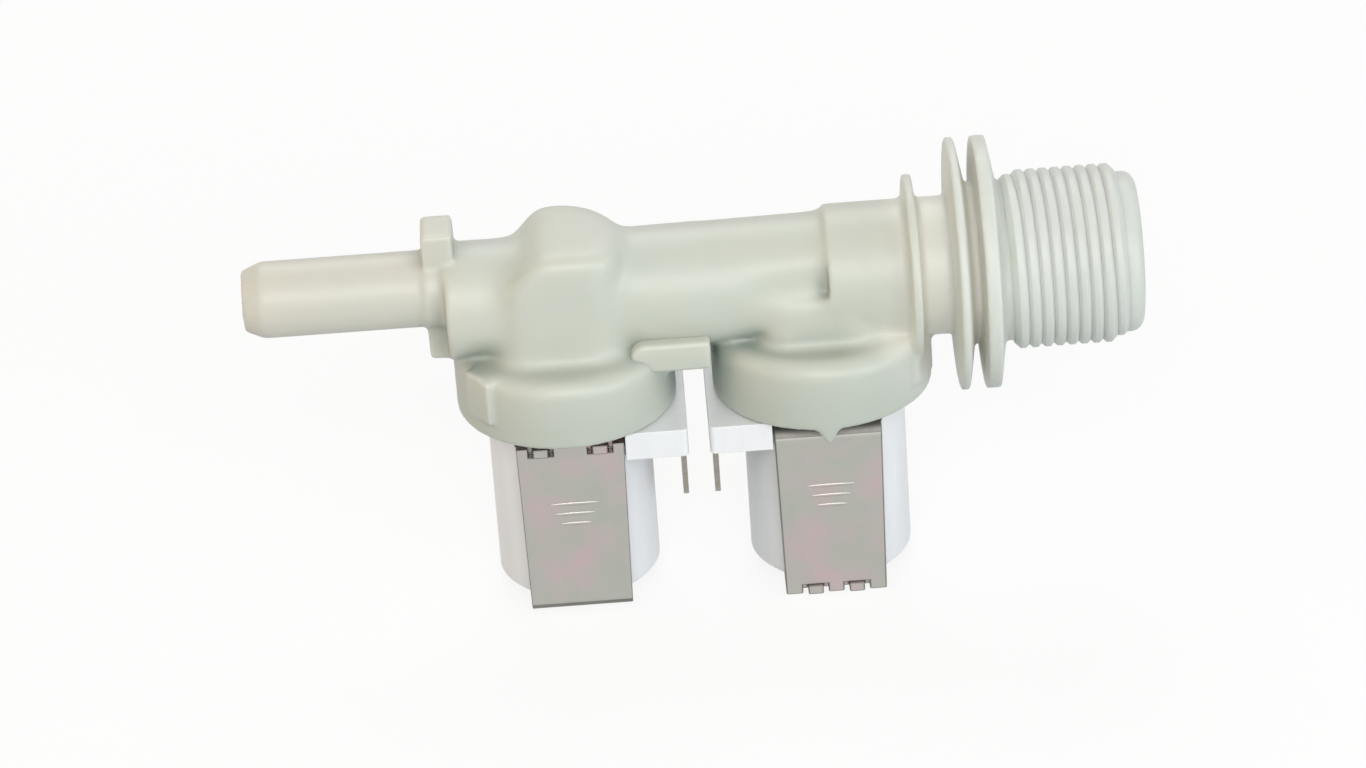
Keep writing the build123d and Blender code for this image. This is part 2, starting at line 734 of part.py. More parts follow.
def make_yoke(x, turn, lower):
    """One of the two L-shaped yoke stampings: side plate with the lower or the upper plate."""
    front = yoke_half_depth
    inner = yoke_half_depth - yoke_thickness
    hand = 1 if lower else -1
    plate_z = (yoke_bottom_z, yoke_floor_z) if lower else (yoke_top_under_z, yoke_top_z)
    slot_z = (yoke_top_under_z, yoke_top_z) if lower else (yoke_bottom_z, yoke_floor_z)
    spacing_low = (-stake_pitch_bottom / 2, stake_pitch_bottom / 2)
    spacing_high = (-stake_pitch_top / 2, stake_pitch_top / 2)
    tab_x, slot_x = (spacing_low, spacing_high) if lower else (spacing_high, spacing_low)
    corner_z = yoke_bottom_z if lower else yoke_top_z
    with BuildPart() as yoke:
        # Front outline: a plate that narrows a little downwards
        with BuildSketch(upright(x, turn)):
            with BuildLine():
                Polyline(
                    (-yoke_width_top / 2, yoke_top_z),
                    (yoke_width_top / 2, yoke_top_z),
                    (yoke_width_bottom / 2, yoke_bottom_z),
                    (-yoke_width_bottom / 2, yoke_bottom_z),
                    close=True,
                )
            make_face()
        extrude(amount=front, both=True)
        # Side outline: the bent sheet
        with BuildSketch(side(x, turn)) as bent:
            with Locations((hand * (front + inner) / 2, (yoke_top_z + yoke_bottom_z) / 2)):
                Rectangle(yoke_thickness, yoke_top_z - yoke_bottom_z)
            with Locations((0, (plate_z[0] + plate_z[1]) / 2)):
                Rectangle(2 * front, yoke_thickness)
            fillet(nearest(bent.vertices(), (hand * front, corner_z)), yoke_bend_radius)
        extrude(amount=yoke_width_top, both=True, mode=Mode.INTERSECT)
        # The far edge of the flat plate keeps only two tabs
        far_y = hand * (front + inner) / 2
        with BuildSketch(level(x, turn, plate_z[0])):
            with Locations((0, far_y)):
                Rectangle(2 * yoke_width_top, yoke_thickness)
            with Locations(*((side_x, far_y) for side_x in tab_x)):
                Rectangle(stake_width, yoke_thickness, mode=Mode.SUBTRACT)
        extrude(amount=yoke_thickness, mode=Mode.SUBTRACT)
        # The peened ends of the tabs stand a little proud of the other stamping
        with BuildSketch(level(x, turn, plate_z[0])):
            with Locations(*((side_x, hand * (front + stake_proud / 2)) for side_x in tab_x)):
                Rectangle(stake_width, stake_proud)
        extrude(amount=yoke_thickness)
        # Slots in the side plate for the other stamping's tabs
        with BuildSketch(level(x, turn, slot_z[0])):
            with Locations(*((side_x, -far_y) for side_x in slot_x)):
                Rectangle(stake_width + 2 * stake_clearance, yoke_thickness)
        extrude(amount=yoke_thickness, mode=Mode.SUBTRACT)
        # Hole for the guide tube
        with BuildSketch(level(x, turn, plate_z[0])):
            Circle(bush_bore_radius)
        extrude(amount=yoke_thickness, mode=Mode.SUBTRACT)
    return yoke.part


export(make_valve_body(), "valve_body")
export(make_strainer(), "inlet_strainer")
export(make_regulator_cage(), "regulator_cage")
export(make_regulator(), "flow_regulator")

for prefix, x_valve, direction in (("outlet", x_outlet_valve, 1), ("inlet", x_inlet_valve, -1)):
    export(make_diaphragm(x_valve, direction), f"{prefix}_diaphragm")
    export(make_insert(x_valve, direction), f"{prefix}_diaphragm_insert")
    export(make_guide_tube(x_valve, direction), f"{prefix}_guide_tube")
    export(make_plunger(x_valve, direction), f"{prefix}_plunger")
    export(make_plunger_tip(x_valve, direction), f"{prefix}_plunger_tip")
    export(make_spring(x_valve, direction), f"{prefix}_plunger_spring")
    export(make_bobbin(x_valve, direction), f"{prefix}_bobbin")
    export(make_winding(x_valve, direction), f"{prefix}_winding")
    export(make_bush(x_valve, direction, yoke_floor_z), f"{prefix}_flux_bush_lower")
    export(make_bush(x_valve, direction, yoke_top_under_z - bush_length), f"{prefix}_flux_bush_upper")
    export(make_jacket(x_valve, direction), f"{prefix}_coil_jacket")
    export(make_blade(x_valve, direction, -1), f"{prefix}_blade_front")
    export(make_blade(x_valve, direction, 1), f"{prefix}_blade_rear")
    export(make_yoke(x_valve, direction, True), f"{prefix}_yoke_lower")
    export(make_yoke(x_valve, direction, False), f"{prefix}_yoke_upper")
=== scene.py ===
# %% [markdown]
# # A twin solenoid inlet valve, dressed for its portrait
# The valve lets cold water into a dishwasher. One moulding holds the threaded inlet, the two
# valve seats and the hose spigot, and two coils hang below it in folded steel yokes.
# The solid model brings every rigid piece at its real place. This lesson gives those pieces
# their surfaces, softens the moulding and adds the thread's ridge. It copies the springs and
# slices the rubber, and then sets the floor and the lights. The camera comes first.

# %% Load the frame
import math
from contextlib import contextmanager

import bmesh
import bpy
from mathutils import Matrix, Vector


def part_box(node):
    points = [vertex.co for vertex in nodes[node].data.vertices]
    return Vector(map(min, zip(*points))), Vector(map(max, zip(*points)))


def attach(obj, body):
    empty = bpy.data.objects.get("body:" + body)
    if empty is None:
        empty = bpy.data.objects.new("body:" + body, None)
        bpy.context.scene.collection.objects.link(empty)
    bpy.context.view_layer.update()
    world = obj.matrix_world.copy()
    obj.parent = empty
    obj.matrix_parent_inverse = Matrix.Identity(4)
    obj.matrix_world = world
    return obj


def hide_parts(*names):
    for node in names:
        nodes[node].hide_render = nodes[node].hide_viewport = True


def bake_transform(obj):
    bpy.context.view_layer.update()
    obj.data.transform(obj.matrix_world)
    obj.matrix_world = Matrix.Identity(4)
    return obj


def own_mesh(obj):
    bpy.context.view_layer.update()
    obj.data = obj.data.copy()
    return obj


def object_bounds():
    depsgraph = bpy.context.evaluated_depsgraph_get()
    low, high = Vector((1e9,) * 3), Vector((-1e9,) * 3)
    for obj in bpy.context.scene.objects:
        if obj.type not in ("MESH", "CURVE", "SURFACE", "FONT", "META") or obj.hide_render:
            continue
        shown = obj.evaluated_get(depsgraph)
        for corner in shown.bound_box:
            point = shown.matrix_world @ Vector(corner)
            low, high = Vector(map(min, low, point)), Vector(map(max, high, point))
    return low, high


MM = 0.001

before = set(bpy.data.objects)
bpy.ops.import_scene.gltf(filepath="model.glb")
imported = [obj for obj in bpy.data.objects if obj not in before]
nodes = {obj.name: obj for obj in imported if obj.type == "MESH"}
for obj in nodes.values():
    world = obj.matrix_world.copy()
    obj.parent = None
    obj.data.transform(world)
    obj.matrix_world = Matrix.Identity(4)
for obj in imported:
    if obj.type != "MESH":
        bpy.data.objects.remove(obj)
cad_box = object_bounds()


# %% [markdown]
# ## Small tools
# Every mesh, lamp and camera needs an object that puts it in the scene, and a mesh is edited by
# opening it, changing it and writing it back. Both come up often, so each is one function.

# %% Objects and open meshes
def new_object(name, data):
    """An object in the scene for a mesh, a lamp or a camera."""
    made = bpy.data.objects.new(name, data)
    bpy.context.scene.collection.objects.link(made)
    return made


@contextmanager
def open_mesh(mesh):
    """A mesh opened for editing, and written back at the end."""
    work = bmesh.new()
    work.from_mesh(mesh)
    yield work
    work.to_mesh(mesh)
    work.free()


print("tools ready")


# %% [markdown]
# ## The camera
# The picture looks down at the valve by thirty degrees with a long lens, from about 0.8 m away,
# and the camera was tilted by four degrees, so the level body seems to climb to the right.
# The direction of view, the lens and that tilt are numbers, so the camera is built from them
# and not aimed by eye: two turned axes, right and up, give its rotation matrix.

# %% Camera
PICTURE_WIDTH = 1366
FOCAL_PIXELS = 5474.88
SENSOR_WIDTH = 36.0
AZIMUTH = math.radians(-0.340)
ELEVATION = math.radians(29.841)
ROLL = math.radians(-4.036)
DISTANCE = 816.97 * MM
TARGET = Vector((-57.13, 0.0, -17.075)) * MM

forward = Vector((
    -math.sin(AZIMUTH) * math.cos(ELEVATION),
    math.cos(AZIMUTH) * math.cos(ELEVATION),
    -math.sin(ELEVATION),
))
level_right = Vector((math.cos(AZIMUTH), math.sin(AZIMUTH), 0.0))
level_up = level_right.cross(forward)
right = math.cos(ROLL) * level_right + math.sin(ROLL) * level_up
up = -math.sin(ROLL) * level_right + math.cos(ROLL) * level_up

lens = bpy.data.cameras.new("portrait_lens")
lens.sensor_width = SENSOR_WIDTH
lens.lens = FOCAL_PIXELS * SENSOR_WIDTH / PICTURE_WIDTH
lens.clip_start = 0.05
lens.clip_end = 20.0
camera = new_object("portrait_camera", lens)
rotation = Matrix((right, up, -forward)).transposed()
camera.matrix_world = Matrix.Translation(TARGET - forward * DISTANCE) @ rotation.to_4x4()
bpy.context.scene.camera = camera
print(f"lens {lens.lens:.1f} mm, eye {[round(v, 3) for v in camera.matrix_world.translation]}")


# %% [markdown]
# ## Materials from small nodes
# Every finish is a small graph that ends in one shader. One function adds a node with its
# settings and links, and short ones stand for the nodes that come up in every finish.
# Colours are written as they look on screen and turned to linear light by one function.

# %% Adding nodes
def linear(code):
    """An sRGB hex colour as linear RGBA."""
    parts = [int(code[i:i + 2], 16) / 255 for i in (1, 3, 5)]
    return (*(v / 12.92 if v <= 0.04045 else ((v + 0.055) / 1.055) ** 2.4 for v in parts), 1.0)


def add(tree, kind, settings=None, **inputs):
    """Add a node. Inputs are given by name, an underscore for a space, as values or sockets."""
    made = tree.nodes.new(kind)
    for key, value in (settings or {}).items():
        setattr(made, key, value)
    for key, value in inputs.items():
        name = key.replace("_", " ")
        socket = next(s for s in made.inputs if s.name == name and s.enabled)
        if isinstance(value, bpy.types.NodeSocket):
            tree.links.new(value, socket)
        else:
            socket.default_value = value
    return made


def out(made, name=None):
    """The enabled output of a node, by name when it has several."""
    return next(s for s in made.outputs if s.enabled and (name is None or s.name == name))


def calculator(tree):
    """A function that adds one sum of values or sockets to a tree and returns its result."""
    def calc(operation, *values):
        made = add(tree, "ShaderNodeMath", {"operation": operation})
        for socket, value in zip(made.inputs, values):
            if isinstance(value, bpy.types.NodeSocket):
                tree.links.new(value, socket)
            else:
                socket.default_value = value
        return out(made)

    return calc


print("nodes can be added, white is", [round(v, 2) for v in linear("#FFFFFF")[:3]])


# %% [markdown]
# A pattern's size is given in real millimetres, so grain on a small valve stays small. A fade
# turns one range of a value into another, and is what makes a tone follow a place or a noise.

# %% Parts of a finish
def new_material(name):
    """An empty material, its node tree and the place on the object in metres."""
    material = bpy.data.materials.new(name)
    material.use_nodes = True
    tree = material.node_tree
    tree.nodes.clear()
    return material, tree, out(add(tree, "ShaderNodeTexCoord"), "Object")


def stretched(tree, place, scale):
    """The place, squeezed or drawn out along the axes before a pattern is laid on it."""
    return out(add(tree, "ShaderNodeMapping", Vector=place, Scale=scale))


def noise(tree, place, size_mm, detail=2.0):
    """A noise whose blots are this many millimetres across."""
    blots = add(tree, "ShaderNodeTexNoise", Vector=place, Scale=1.0 / (size_mm * MM), Detail=detail)
    return out(blots, "Fac")


def fade(tree, value, start, end, low=0.0, high=1.0):
    """Low where a value is at its start, high where it is at its end, and even between."""
    return out(add(tree, "ShaderNodeMapRange", Value=value, From_Min=start, From_Max=end,
                   To_Min=low, To_Max=high))


def mixed(tree, share, first, second):
    """A mix of two colours, each of them a hex code or a socket."""
    first, second = (linear(c) if isinstance(c, str) else c for c in (first, second))
    return out(add(tree, "ShaderNodeMix", {"data_type": "RGBA"}, Factor=share, A=first, B=second),
               "Result")


def ramp(tree, share, stops):
    """A colour ramp with these stops, each of them a position and a hex code."""
    made = add(tree, "ShaderNodeValToRGB", Fac=share)
    elements = made.color_ramp.elements
    while len(elements) < len(stops):
        elements.new(1.0)
    for element, (position, code) in zip(elements, stops):
        element.position = position
        element.color = linear(code)
    return out(made, "Color")


def bumped(tree, height, strength, depth_mm):
    """A normal that follows a height, for grain and for the marks of tools."""
    return out(add(tree, "ShaderNodeBump", Height=height, Strength=strength, Distance=depth_mm * MM))


def finish_surface(tree, shader):
    """Join a shader to the material's output."""
    end = tree.nodes.new("ShaderNodeOutputMaterial")
    tree.links.new(out(shader), end.inputs["Surface"])


def principled(tree, colour, roughness, normal, **more):
    """End a material in one Principled shader."""
    finish_surface(tree, add(tree, "ShaderNodeBsdfPrincipled", Base_Color=colour,
                             Roughness=roughness, Normal=normal, **more))


print("parts of a finish ready")


# %% [markdown]
# ## Natural polyamide
# The body is unfilled polyamide, injection moulded and left without pigment. It is a cloudy
# ivory that lets a little light through its skin. A colour ramp along the body's length makes
# the spigot and the inlet paler than the thick middle: partly the paler look of thin walls,
# partly painted light that lifts them out of their own shade. The bells are painted darker
# towards their rims as painted shade, and the tone drifts in clouds of a few centimetres where
# the melt flowed.
# Enclosed spots are painted: where two thick forms meet, painted shade makes the plastic darker
# and greener, and between thin flanges and thread turns painted light fills the groove.
# Ambient Occlusion measures how enclosed a spot is, so it drives both changes of tone.
# The mould was spark eroded, which leaves a fine matt grain.

# %% Natural polyamide
SPIGOT_END_X = -124.0 * MM
INLET_END_X = 8.0 * MM
# Tones along the body: partly thin walls, partly painted light on the spigot and the inlet.
WALL_TONES_AND_LIGHT = ((-97.0, "#D6D2C6"), (-84.0, "#D2D3C7"), (-29.0, "#CBCEC2"), (-17.0, "#D9DCD5"))
CLOUD_MM, CLOUD_RANGE, CLOUD_SHARE, CLOUD_TONE = 22.0, (0.35, 0.70), 0.5, "#C9D0C7"
VEIL_MM, VEIL_RANGE, VEIL_SHARE, VEIL_TONE = 7.0, (0.52, 0.75), 0.35, "#C6CDC0"
BELL_TOP_Z = -6.0 * MM
BELL_RIM_Z = -15.0 * MM
# Painted shade: the bells turn darker towards their rims.
BELL_PAINTED_SHADE, BELL_SHADE_SHARE = "#A6B1A8", 0.3
# Painted shade in the thick corners and painted light in the grooves: reach, strength and where one turns
# into the other.
CORNER_REACH = 13.0 * MM
DEEP_AT, OPEN_AT, PAINTED_CORNER_SHARE = 0.35, 0.9, 0.95
CORNER_SHADE_UNTIL_X = -34.0 * MM
GROOVE_LIGHT_FROM_X = -27.0 * MM
PAINTED_CORNER_SHADE, PAINTED_GROOVE_LIGHT = "#8A968D", "#E9E8E0"
MOULD_GRAIN_MM = 0.35
SCATTER = 2.0 * MM


def natural_polyamide():
    """Cloudy ivory plastic whose tone follows its walls, with painted shade and light where it is
    enclosed.
    """
    material, tree, place = new_material("natural_polyamide_moulded")
    axes = add(tree, "ShaderNodeSeparateXYZ", Vector=place)
    along = out(axes, "X")
    # Paler spigot and inlet: partly thin walls, partly painted light that lifts them out of their own
    # shade.
    wall = ramp(tree, fade(tree, along, SPIGOT_END_X, INLET_END_X), [
        ((x_mm * MM - SPIGOT_END_X) / (INLET_END_X - SPIGOT_END_X), tone) for x_mm, tone in WALL_TONES_AND_LIGHT
    ])
    clouds = fade(tree, noise(tree, place, CLOUD_MM), *CLOUD_RANGE, high=CLOUD_SHARE)
    veil = fade(tree, noise(tree, place, VEIL_MM, detail=3.0), *VEIL_RANGE, high=VEIL_SHARE)
    # Painted shade, darker towards the rims of the bells.
    bell = fade(tree, out(axes, "Z"), BELL_TOP_Z, BELL_RIM_Z, high=BELL_SHADE_SHARE)
    skin = mixed(tree, clouds, wall, CLOUD_TONE)
    skin = mixed(tree, veil, skin, VEIL_TONE)
    skin = mixed(tree, bell, skin, BELL_PAINTED_SHADE)
    # Painted shade darkens the enclosed corners of the thick middle; painted light brightens the grooves
    # between the flanges and the thread turns.
    enclosed = add(tree, "ShaderNodeAmbientOcclusion", {"only_local": True, "samples": 8},
                   Distance=CORNER_REACH)
    depth = fade(tree, out(enclosed, "AO"), DEEP_AT, OPEN_AT, low=PAINTED_CORNER_SHARE, high=0.0)
    corner = mixed(tree, fade(tree, along, CORNER_SHADE_UNTIL_X, GROOVE_LIGHT_FROM_X), PAINTED_CORNER_SHADE, PAINTED_GROOVE_LIGHT)
    grain = bumped(tree, noise(tree, place, MOULD_GRAIN_MM), 0.12, 0.02)
    principled(tree, mixed(tree, depth, skin, corner), 0.42, grain, IOR=1.53,
               Subsurface_Weight=0.5, Subsurface_Radius=(1.0, 1.0, 0.8), Subsurface_Scale=SCATTER)
    return material


polyamide = natural_polyamide()
print("made", polyamide.name)


# %% [markdown]
# ## White coil jackets
# The coils are overmoulded in white glass-filled thermoplastic. It is opaque, cooler than the
# body and a little glossier, with short pale streaks where the glass fibres reach the skin.

# %% White thermoplastic
FIBRE_STREAK_MM = 2.5


def jacket_thermoplastic():
    """White opaque plastic with pale streaks along Z."""
    material, tree, place = new_material("white_glass_filled_thermoplastic")
    streaks = noise(tree, stretched(tree, place, (1.0, 1.0, 0.25)), FIBRE_STREAK_MM, detail=3.0)
    principled(tree, mixed(tree, streaks, "#ECEDEF", "#F6F7F9"), 0.34,
               bumped(tree, streaks, 0.15, 0.02), IOR=1.58)
    return material


jacket_white = jacket_thermoplastic()
print("made", jacket_white.name)


# %% [markdown]
# ## Zinc-plated steel
# The yokes are stamped from rolled strip and zinc plated. Plating over the strip's rolled
# finish gives a soft grey metal with fine lines along the plate, and the clear passivation
# on it shows faint pink and green where its thickness changes.
# Where the strip was sheared and bent the zinc is dragged thin, so cut edges and bends are
# darker and duller. They get the same metal in three darker tones.

# %% Zinc-plated steel
ROLLED_LINE_MM = 0.5
FILM_MM = 7.0
FILM_STOPS = (0.30, 0.50, 0.70)


def zinc_plated_steel(name, tones, smoothest, roughest):
    """Rolled and plated strip with three tones of passivation."""
    material, tree, place = new_material(name)
    rolled = noise(tree, stretched(tree, place, (1.0, 1.0, 0.06)), ROLLED_LINE_MM)
    tint = ramp(tree, noise(tree, place, FILM_MM), list(zip(FILM_STOPS, tones)))
    principled(tree, tint, fade(tree, rolled, 0.0, 1.0, smoothest, roughest),
               bumped(tree, rolled, 0.25, 0.015), Metallic=1.0)
    return material


zinc_steel = zinc_plated_steel("zinc_plated_steel_strip", ("#ADB2A9", "#B4B1AB", "#BFAEAE"), 0.36, 0.52)
worked_steel = zinc_plated_steel("zinc_plated_steel_edges", ("#7A7A75", "#85827D", "#8C8483"), 0.50, 0.65)
print("made", zinc_steel.name, worked_steel.name)


# %% [markdown]
# ## The other metals
# Tinned brass on the blades is a dull, warm grey. Turned steel makes the plungers and bushes,
# and drawn wire the springs. Enamelled copper is hidden, but a valve that is taken apart
# should still show what each piece is made of.

# %% Fine metals
def fine_metal(name, dark, pale, line_mm, roughness):
    """A metal whose tone follows lines as fine as its tool marks."""
    material, tree, place = new_material(name)
    marks = noise(tree, stretched(tree, place, (0.08, 0.08, 1.0)), line_mm)
    principled(tree, mixed(tree, marks, dark, pale), roughness,
               bumped(tree, marks, 0.2, 0.01), Metallic=1.0)
    return material


tinned_brass = fine_metal("tinned_brass_blade", "#87857D", "#A6A399", 0.6, 0.42)
turned_steel = fine_metal("turned_steel", "#8E8F92", "#A9AAAD", 0.3, 0.32)
spring_wire = fine_metal("drawn_spring_wire", "#9A9B9E", "#B4B5B8", 0.2, 0.28)
enamelled_copper = fine_metal("enamelled_copper_winding", "#8A3F1C", "#B8622F", 0.35, 0.30)
print("made", tinned_brass.name, turned_steel.name, spring_wire.name, enamelled_copper.name)


# %% [markdown]
# ## Rubber and plain plastics
# The seals are black rubber, and the strainer, the guide tubes and the bobbins are plain
# mouldings. Each has a slow change of tone and a fine grain, and only the numbers differ.

# %% Plain mouldings
def moulded(name, dark, pale, patch_mm, grain_mm, roughness):
    """A moulded piece with a slow change of tone and a fine grain."""
    material, tree, place = new_material(name)
    principled(tree, mixed(tree, noise(tree, place, patch_mm), dark, pale), roughness,
               bumped(tree, noise(tree, place, grain_mm), 0.2, 0.02), IOR=1.5)
    return material


seal_rubber = moulded("black_seal_rubber", "#1B1B1C", "#262627", 4.0, 0.3, 0.62)
strainer_plastic = moulded("white_strainer_plastic", "#D9DCDB", "#E6E8E7", 6.0, 0.4, 0.40)
guide_plastic = moulded("natural_guide_plastic", "#CFCCBE", "#DAD7C9", 8.0, 0.4, 0.42)
bobbin_plastic = moulded("ivory_bobbin_plastic", "#C8C6BC", "#D5D3C9", 8.0, 0.4, 0.45)
print("made", seal_rubber.name, strainer_plastic.name, guide_plastic.name, bobbin_plastic.name)


# %% [markdown]
# ## Each solid gets its finish
# The pieces' names say what they are, so the first key that is part of a name gives the finish.
# The order matters where one key is part of another: diaphragm_insert comes before diaphragm.

# %% Finishes by name
FINISHES = {
    "valve_body": polyamide,
    "strainer": strainer_plastic,
    "regulator_cage": guide_plastic,
    "flow_regulator": seal_rubber,
    "diaphragm_insert": guide_plastic,
    "diaphragm": seal_rubber,
    "guide_tube": guide_plastic,
    "plunger_tip": seal_rubber,
    "plunger_spring": spring_wire,
    "plunger": turned_steel,
    "bobbin": bobbin_plastic,
    "winding": enamelled_copper,
    "flux_bush": turned_steel,
    "coil_jacket": jacket_white,
    "blade": tinned_brass,
    "yoke": zinc_steel,
}


def finish_of(name):
    """The first finish whose key is part of the piece's name."""
    return next(material for key, material in FINISHES.items() if key in name)


def wear(piece, *materials):
    """Give a piece these materials and no others."""
    piece.data.materials.clear()
    for material in materials:
        piece.data.materials.append(material)


for name, piece in nodes.items():
    wear(piece, finish_of(name))
print("finished", len(nodes), "solid pieces")


# %% [markdown]
# ## Copies to model on
# A solid's own mesh is never changed. A piece that needs another shape or shading starts as a
# welded copy, gets its modifiers, and is turned into a plain mesh before it takes its place.

# %% Copies and plain meshes
WELD = 0.002 * MM


def merged_copy(node_name, name):
    """A welded copy of a solid piece, ready for modelling."""
    mesh = nodes[node_name].data.copy()
    mesh.name = name
    with open_mesh(mesh) as work:
        bmesh.ops.remove_doubles(work, verts=work.verts, dist=WELD)
    return new_object(name, mesh)


def make_plain(piece):
    """Replace a piece's live modifiers by the mesh that they give."""
    bpy.context.view_layer.update()
    graph = bpy.context.evaluated_depsgraph_get()
    mesh = bpy.data.meshes.new_from_object(piece.evaluated_get(graph))
    piece.modifiers.clear()
    piece.data = mesh
    return piece


def shade_by_angle(piece, degrees):
    """Smooth shading, with edges sharper than this angle kept crisp."""
    piece.data.shade_smooth()
    piece.data.set_sharp_from_angle(angle=math.radians(degrees))


print("copies can be made")


# %% [markdown]
# ## A softer moulding
# A real moulding has no sharp inside corners: plastic would crack there and the tool could not
# be milled. The solid model has exact cylinders that meet in sharp lines, so a copy of it is
# rebuilt from small voxels and smoothed, which rounds every junction by about half a millimetre
# and leaves the large forms where they are. The copy then stands for the solid body.
# The flanges are thin and their rims are crisp, so the smoothing fades out before it reaches them.

# %% Rebuild the body from voxels
VOXEL = 0.4 * MM
SOFT_UNTIL = -24.0 * MM
CRISP_FROM = -21.0 * MM
CRISP_SHARE = 0.16

body = merged_copy("valve_body", "moulded_valve_body")
voxels = body.modifiers.new("voxels", "REMESH")
voxels.mode = "VOXEL"
voxels.voxel_size = VOXEL
make_plain(body)
softness = body.vertex_groups.new(name="softness")
for vertex in body.data.vertices:
    faded = (vertex.co.x - SOFT_UNTIL) / (CRISP_FROM - SOFT_UNTIL)
    share = 1.0 - (1.0 - CRISP_SHARE) * min(max(faded, 0.0), 1.0)
    softness.add([vertex.index], share, "REPLACE")
print(len(body.data.vertices), "vertices on a grid of", VOXEL / MM, "mm")


# %% [markdown]
# The outlet chamber and the step beside the inlet chamber flow into their neighbours like clay.
# So inside two boxes, given in millimetres, the copy is relaxed for many more steps. Each box
# fades in over its rim, and no seam shows where it ends.

# %% Relax the body
SMOOTHING_STEPS = 8
SMOOTHING_FACTOR = 0.5
FADE = 2.5 * MM
FLOWING_FORMS = {
    "outlet_chamber": ((-87.0, -15.0, -8.0), (-62.0, 15.0, 15.0), 130),
    "inlet_step": ((-54.0, -14.0, -5.0), (-35.0, 14.0, 9.5), 220),
}
KEPT_TRIANGLES = 180000


def relax(group, steps):
    """Smooth the body where a vertex group says so."""
    smoothing = body.modifiers.new(group.name, "SMOOTH")
    smoothing.factor = SMOOTHING_FACTOR
    smoothing.iterations = steps
    smoothing.vertex_group = group.name


relax(softness, SMOOTHING_STEPS)
for form, (low, high, steps) in FLOWING_FORMS.items():
    group = body.vertex_groups.new(name=form)
    for vertex in body.data.vertices:
        inside = min(min(c - a * MM, b * MM - c) for c, a, b in zip(vertex.co, low, high))
        if inside > 0.0:
            group.add([vertex.index], min(inside / FADE, 1.0), "REPLACE")
    relax(group, steps)
fewer = body.modifiers.new("fewer", "DECIMATE")
fewer.ratio = min(1.0, KEPT_TRIANGLES / (2 * len(body.data.polygons)))
make_plain(body)
body.data.shade_smooth()
wear(body, polyamide)
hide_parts("valve_body")
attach(body, "valve")
print("body has", sum(len(p.vertices) - 2 for p in body.data.polygons), "triangles")


# %% [markdown]
# ## Growing pieces by rule
# Two pieces follow a rule: the thread and the pressed beads. Geometry Nodes make them. A group
# has its sizes as named inputs, ends with real geometry in a material, and is run on an empty
# mesh, whose result is kept as a plain piece.

# %% Node groups
def new_group(name, lengths, counts):
    """A node group with these named inputs, a material and one geometry output."""
    tree = bpy.data.node_groups.new(name, "GeometryNodeTree")
    face = tree.interface
    face.new_socket("Geometry", in_out="OUTPUT", socket_type="NodeSocketGeometry")
    for kind, sizes in (("NodeSocketFloat", lengths), ("NodeSocketInt", counts)):
        for label, value in sizes.items():
            face.new_socket(label, in_out="INPUT", socket_type=kind).default_value = value
    face.new_socket("Material", in_out="INPUT", socket_type="NodeSocketMaterial")
    return tree, {socket.name: socket for socket in tree.nodes.new("NodeGroupInput").outputs}


def end_group(tree, geometry, material):
    """Make a group's geometry real, coat it and hand it out."""
    real = add(tree, "GeometryNodeRealizeInstances", Geometry=geometry)
    coat = add(tree, "GeometryNodeSetMaterial", Geometry=out(real), Material=material)
    tree.links.new(out(coat), tree.nodes.new("NodeGroupOutput").inputs[0])
    return tree


def grow(name, tree, values):
    """Run a node group on an empty mesh and keep the result as a plain piece."""
    piece = new_object(name, bpy.data.meshes.new(name))
    modifier = piece.modifiers.new(name, "NODES")
    modifier.node_group = tree
    for item in tree.interface.items_tree:
        if item.item_type == "SOCKET" and item.in_out == "INPUT" and item.name in values:
            modifier[item.identifier] = values[item.name]
    return make_plain(piece)


print("node groups can be grown")


# %% [markdown]
# ## The inlet thread
# The inlet carries a G 3/4 thread, 14 turns to the inch, so one turn is 1.814 mm.
# A line is bent into a helix, a rounded trapezoid follows it, and the ends sink into the root
# over a third of a turn. The helix is a matter of sines and cosines of the way along the line.

# %% Thread tree
THREAD_LENGTHS = {
    "Pitch": 1.814 * MM,
    "Root Radius": 12.0 * MM,
    "Crest Height": 1.2 * MM,
    "Start": -7.8 * MM,
    "Length": 15.9 * MM,
    "Crest Width": 0.8 * MM,
    "Root Width": 3.2 * MM,
    "Crest Round": 0.2 * MM,
}
END_STEEPNESS = 26.0


